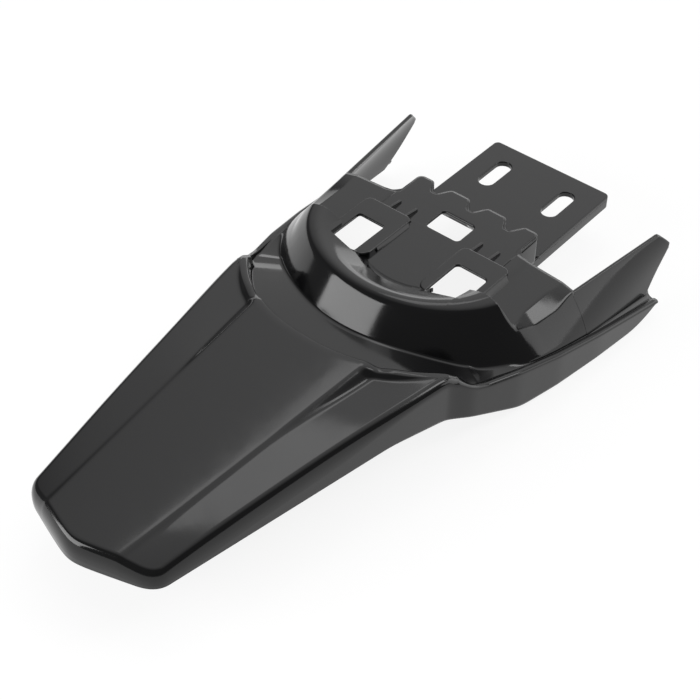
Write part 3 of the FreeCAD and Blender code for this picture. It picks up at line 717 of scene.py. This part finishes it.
# Polypropylene is about 1.49; this is a little less, to match the weaker reflections of the deck.
shader.inputs["IOR"].default_value = 1.46
spot = add_node(plastic_tree, "ShaderNodeTexCoord")
in_place = [(spot.outputs["Object"], "Vector")]
waves = add_node(plastic_tree, "ShaderNodeTexNoise", {"Scale": 1.0 / WAVE, "Detail": 1.0}, in_place)
# The peel of a real moulding is finer than this and would not show, so it is drawn coarser.
peel = add_node(plastic_tree, "ShaderNodeTexNoise", {"Scale": 1.0 / PEEL, "Detail": 0.0}, in_place)
patches = add_node(plastic_tree, "ShaderNodeTexNoise", {"Scale": 1.0 / PATCH, "Detail": 3.0}, in_place)
swell = add_node(
    plastic_tree, "ShaderNodeBump", {"Strength": 1.0, "Distance": WAVE_HEIGHT},
    [(waves.outputs[0], "Height")],
)
skin_bump = add_node(
    plastic_tree, "ShaderNodeBump", {"Strength": 1.0, "Distance": PEEL_HEIGHT},
    [(peel.outputs[0], "Height"), (swell.outputs[0], "Normal")],
)
plastic_tree.links.new(skin_bump.outputs[0], shader.inputs["Normal"])
dulled = add_node(
    plastic_tree, "ShaderNodeMapRange",
    {"From Min": 0.3, "From Max": 0.7, "To Min": GLOSS, "To Max": HANDLED},
    [(patches.outputs[0], "Value")],
)
plastic_tree.links.new(dulled.outputs[0], shader.inputs["Roughness"])

# Gussets.
# Four thin ribs brace the front of the raised floors against the pan, moulded in with them.
# One wedge stands on each of the four places, and slopes down from the raised floor's edge.
GUSSET_AT = (-41.9, -27.8, 27.8, 41.9)
GUSSET_Y = PLATEAU["front"] + 5.5
GUSSET_Z = PAN_HEIGHT + 1.5
GUSSET_EDGE = 0.45
gusset_inputs = {"Length": 13.0 * MM, "Width": 1.9 * MM, "Rise": 3.6 * MM, "Plastic": plastic}
gusset_tree = bpy.data.node_groups.new("gussets", "GeometryNodeTree")
gusset_tree.interface.new_socket("Places", in_out="INPUT", socket_type="NodeSocketGeometry")
for size_name in ("Length", "Width", "Rise"):
    gusset_tree.interface.new_socket(size_name, in_out="INPUT", socket_type="NodeSocketFloat")
gusset_tree.interface.new_socket("Plastic", in_out="INPUT", socket_type="NodeSocketMaterial")
gusset_tree.interface.new_socket("Gussets", in_out="OUTPUT", socket_type="NodeSocketGeometry")

sizes = add_node(gusset_tree, "NodeGroupInput")
box_size = add_node(
    gusset_tree, "ShaderNodeCombineXYZ", {},
    [(sizes.outputs["Width"], "X"), (sizes.outputs["Length"], "Y"), (sizes.outputs["Rise"], "Z")],
)
wedge = add_node(gusset_tree, "GeometryNodeMeshCube", {}, [(box_size.outputs[0], "Size")])
corner = add_node(gusset_tree, "GeometryNodeInputPosition")
split = add_node(gusset_tree, "ShaderNodeSeparateXYZ", {}, [(corner.outputs[0], 0)])
is_more = {"operation": "GREATER_THAN"}
in_front = add_node(gusset_tree, "FunctionNodeCompare", is_more, [(split.outputs["Y"], 0)])
above = add_node(gusset_tree, "FunctionNodeCompare", is_more, [(split.outputs["Z"], 0)])
upper_front = add_node(
    gusset_tree, "FunctionNodeBooleanMath", {"operation": "AND"},
    [(in_front.outputs[0], 0), (above.outputs[0], 1)],
)
fall = add_node(
    gusset_tree, "ShaderNodeMath", {"operation": "MULTIPLY", 1: -0.5}, [(sizes.outputs["Rise"], 0)]
)
drop = add_node(gusset_tree, "ShaderNodeCombineXYZ", {}, [(fall.outputs[0], "Z")])
sloped = add_node(
    gusset_tree, "GeometryNodeSetPosition", {},
    [(wedge.outputs[0], 0), (upper_front.outputs[0], "Selection"), (drop.outputs[0], "Offset")],
)
standing = add_node(
    gusset_tree, "GeometryNodeInstanceOnPoints", {},
    [(sizes.outputs["Places"], "Points"), (sloped.outputs[0], "Instance")],
)
solid = add_node(gusset_tree, "GeometryNodeRealizeInstances", {}, [(standing.outputs[0], 0)])
coated = add_node(
    gusset_tree, "GeometryNodeSetMaterial", {},
    [(solid.outputs[0], 0), (sizes.outputs["Plastic"], "Material")],
)
add_node(gusset_tree, "NodeGroupOutput", {}, [(coated.outputs[0], 0)])

places = bpy.data.meshes.new("gusset_places")
places.from_pydata([(x * MM, GUSSET_Y * MM, GUSSET_Z * MM) for x in GUSSET_AT], [], [])
gussets = bpy.data.objects.new("gussets", places)
scene.collection.objects.link(gussets)
grown = gussets.modifiers.new("gussets", "NODES")
grown.node_group = gusset_tree
for item in gusset_tree.interface.items_tree:
    if item.name in gusset_inputs:
        grown[item.identifier] = gusset_inputs[item.name]
gusset_mesh = bpy.data.meshes.new_from_object(gussets.evaluated_get(bpy.context.evaluated_depsgraph_get()))
bpy.data.objects.remove(gussets)
ribs = bmesh.new()
ribs.from_mesh(gusset_mesh)
bmesh.ops.bevel(
    ribs, geom=ribs.edges[:], offset=GUSSET_EDGE * MM, segments=2, profile=0.5, affect="EDGES"
)
ribs.to_mesh(gusset_mesh)
ribs.free()
front_meshes.append(gusset_mesh)

# The whole mudguard.
# The real thing leaves the mould as one piece of polypropylene, with nothing fitted to it afterwards.
# So the forms above are joined into one mesh, in the one plastic, and it takes the place of the solid.
depsgraph = bpy.context.evaluated_depsgraph_get()
whole = bmesh.new()
for part in (shell, fins, nose_object):
    whole.from_mesh(bpy.data.meshes.new_from_object(part.evaluated_get(depsgraph)))
for mesh in front_meshes:
    whole.from_mesh(mesh)
mudguard_mesh = bpy.data.meshes.new("mudguard")
whole.to_mesh(mudguard_mesh)
whole.free()
for part in (shell, fins, nose_object):
    bpy.data.objects.remove(part)
mudguard = bpy.data.objects.new("mudguard", mudguard_mesh)
scene.collection.objects.link(mudguard)
for polygon in mudguard_mesh.polygons:
    polygon.use_smooth = True
weighted = mudguard.modifiers.new("normals", "WEIGHTED_NORMAL")
weighted.keep_sharp = True
mudguard_mesh.materials.append(plastic)
for polygon in mudguard_mesh.polygons:
    polygon.material_index = 0
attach(mudguard, "root")
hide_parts("mudguard_shell")

# Studio.
# A sheet of matt white paper to lie on, a soft sky and soft boxes, and the camera at the photograph's
# angle. The paper glows only to the eye and in reflections, so it keeps the mudguard's shadow.
FLOOR_Z = -36.6 * MM
FLOOR_HALF = 6.0
FLOOR_GLOW = 0.87
floor_mesh = bpy.data.meshes.new("floor")
floor_corners = [(-FLOOR_HALF, -FLOOR_HALF), (FLOOR_HALF, -FLOOR_HALF)]
floor_corners += [(FLOOR_HALF, FLOOR_HALF), (-FLOOR_HALF, FLOOR_HALF)]
floor_mesh.from_pydata([(x, y, FLOOR_Z) for x, y in floor_corners], [], [(0, 1, 2, 3)])
floor = bpy.data.objects.new("floor", floor_mesh)
scene.collection.objects.link(floor)
paper = bpy.data.materials.new("white_paper")
paper.use_nodes = True
paper_tree = paper.node_tree
paper_shader = paper_tree.nodes["Principled BSDF"]
paper_shader.inputs["Base Color"].default_value = linear("#6c6c6c")
paper_shader.inputs["Roughness"].default_value = 0.9
paper_shader.inputs["Specular IOR Level"].default_value = 0.0
paper_shader.inputs["Emission Color"].default_value = (1.0, 1.0, 1.0, 1.0)
rays = add_node(paper_tree, "ShaderNodeLightPath")
mirrored = add_node(
    paper_tree, "ShaderNodeMath", {"operation": "MAXIMUM"},
    [(rays.outputs["Is Glossy Ray"], 0), (rays.outputs["Is Transmission Ray"], 1)],
)
seen = add_node(
    paper_tree, "ShaderNodeMath", {"operation": "MAXIMUM"},
    [(rays.outputs["Is Camera Ray"], 0), (mirrored.outputs[0], 1)],
)
glow = add_node(
    paper_tree, "ShaderNodeMath", {"operation": "MULTIPLY", 1: FLOOR_GLOW}, [(seen.outputs[0], 0)]
)
paper_tree.links.new(glow.outputs[0], paper_shader.inputs["Emission Strength"])
floor_mesh.materials.append(paper)

# The sky is dim, with a soft glow high up in front of the part.
SKY_GLOW_TOWARDS = Vector((-0.15, 0.62, 0.77)).normalized()
world = bpy.data.worlds.new("studio")
scene.world = world
world.use_nodes = True
world_tree = world.node_tree
towards = add_node(world_tree, "ShaderNodeTexCoord")
facing = add_node(
    world_tree, "ShaderNodeVectorMath", {"operation": "DOT_PRODUCT", 1: SKY_GLOW_TOWARDS},
    [(towards.outputs["Generated"], 0)],
)
brightness = add_node(
    world_tree, "ShaderNodeMapRange", {"From Min": 0.5, "From Max": 1.0, "To Min": 0.16, "To Max": 1.36},
    [(facing.outputs["Value"], "Value")],
)
sky = world_tree.nodes["Background"]
sky.inputs["Color"].default_value = (1.0, 1.0, 1.0, 1.0)
world_tree.links.new(brightness.outputs[0], sky.inputs["Strength"])


def add_lamp(name, place, aim, width, depth, radiance):
    """Adds a soft box that faces a point, with its brightness as the eye sees it."""
    lamp = bpy.data.lights.new(name, "AREA")
    lamp.shape = "RECTANGLE"
    lamp.size = width
    lamp.size_y = depth
    lamp.energy = radiance * math.pi * width * depth
    lamp_object = bpy.data.objects.new(name, lamp)
    scene.collection.objects.link(lamp_object)
    lamp_object.visible_camera = False
    lamp_object.location = place
    lamp_object.rotation_euler = (Vector(aim) - Vector(place)).to_track_quat("-Z", "Y").to_euler()


# Places and sizes in metres, brightness last: 1 is the white of the paper.
add_lamp("tail_side", (-0.75, -1.45, 0.5), (0.0, -0.19, 0.02), 1.15, 0.9, 5.8)
add_lamp("back_right", (1.35, 1.65, 0.55), (0.1, -0.1, 0.0), 2.4, 1.2, 1.7)
add_lamp("back_left", (-0.9, 1.9, 0.22), (0.0, -0.1, 0.0), 2.4, 0.5, 1.4)
add_lamp("overhead_left", (-0.52, 0.45, 1.6), (-0.52, -0.25, 0.02), 0.42, 0.9, 1.7)
add_lamp("overhead_right", (1.1, 0.95, 1.6), (1.1, -0.15, 0.02), 0.72, 0.8, 4.2)

# The camera stands behind, above and to the right, as the part's mirror pairs in the photograph give.
camera_data = bpy.data.cameras.new("camera")
camera_data.lens = 77.14
camera_data.sensor_width = 36.0
camera = bpy.data.objects.new("camera", camera_data)
scene.collection.objects.link(camera)
camera.location = (0.4550, -0.7287, 0.6678)
camera_forward = Vector((-0.4640, 0.5448, -0.6986))
camera.rotation_euler = camera_forward.to_track_quat("-Z", "Y").to_euler()
scene.camera = camera
scene.view_settings.view_transform = "Standard"
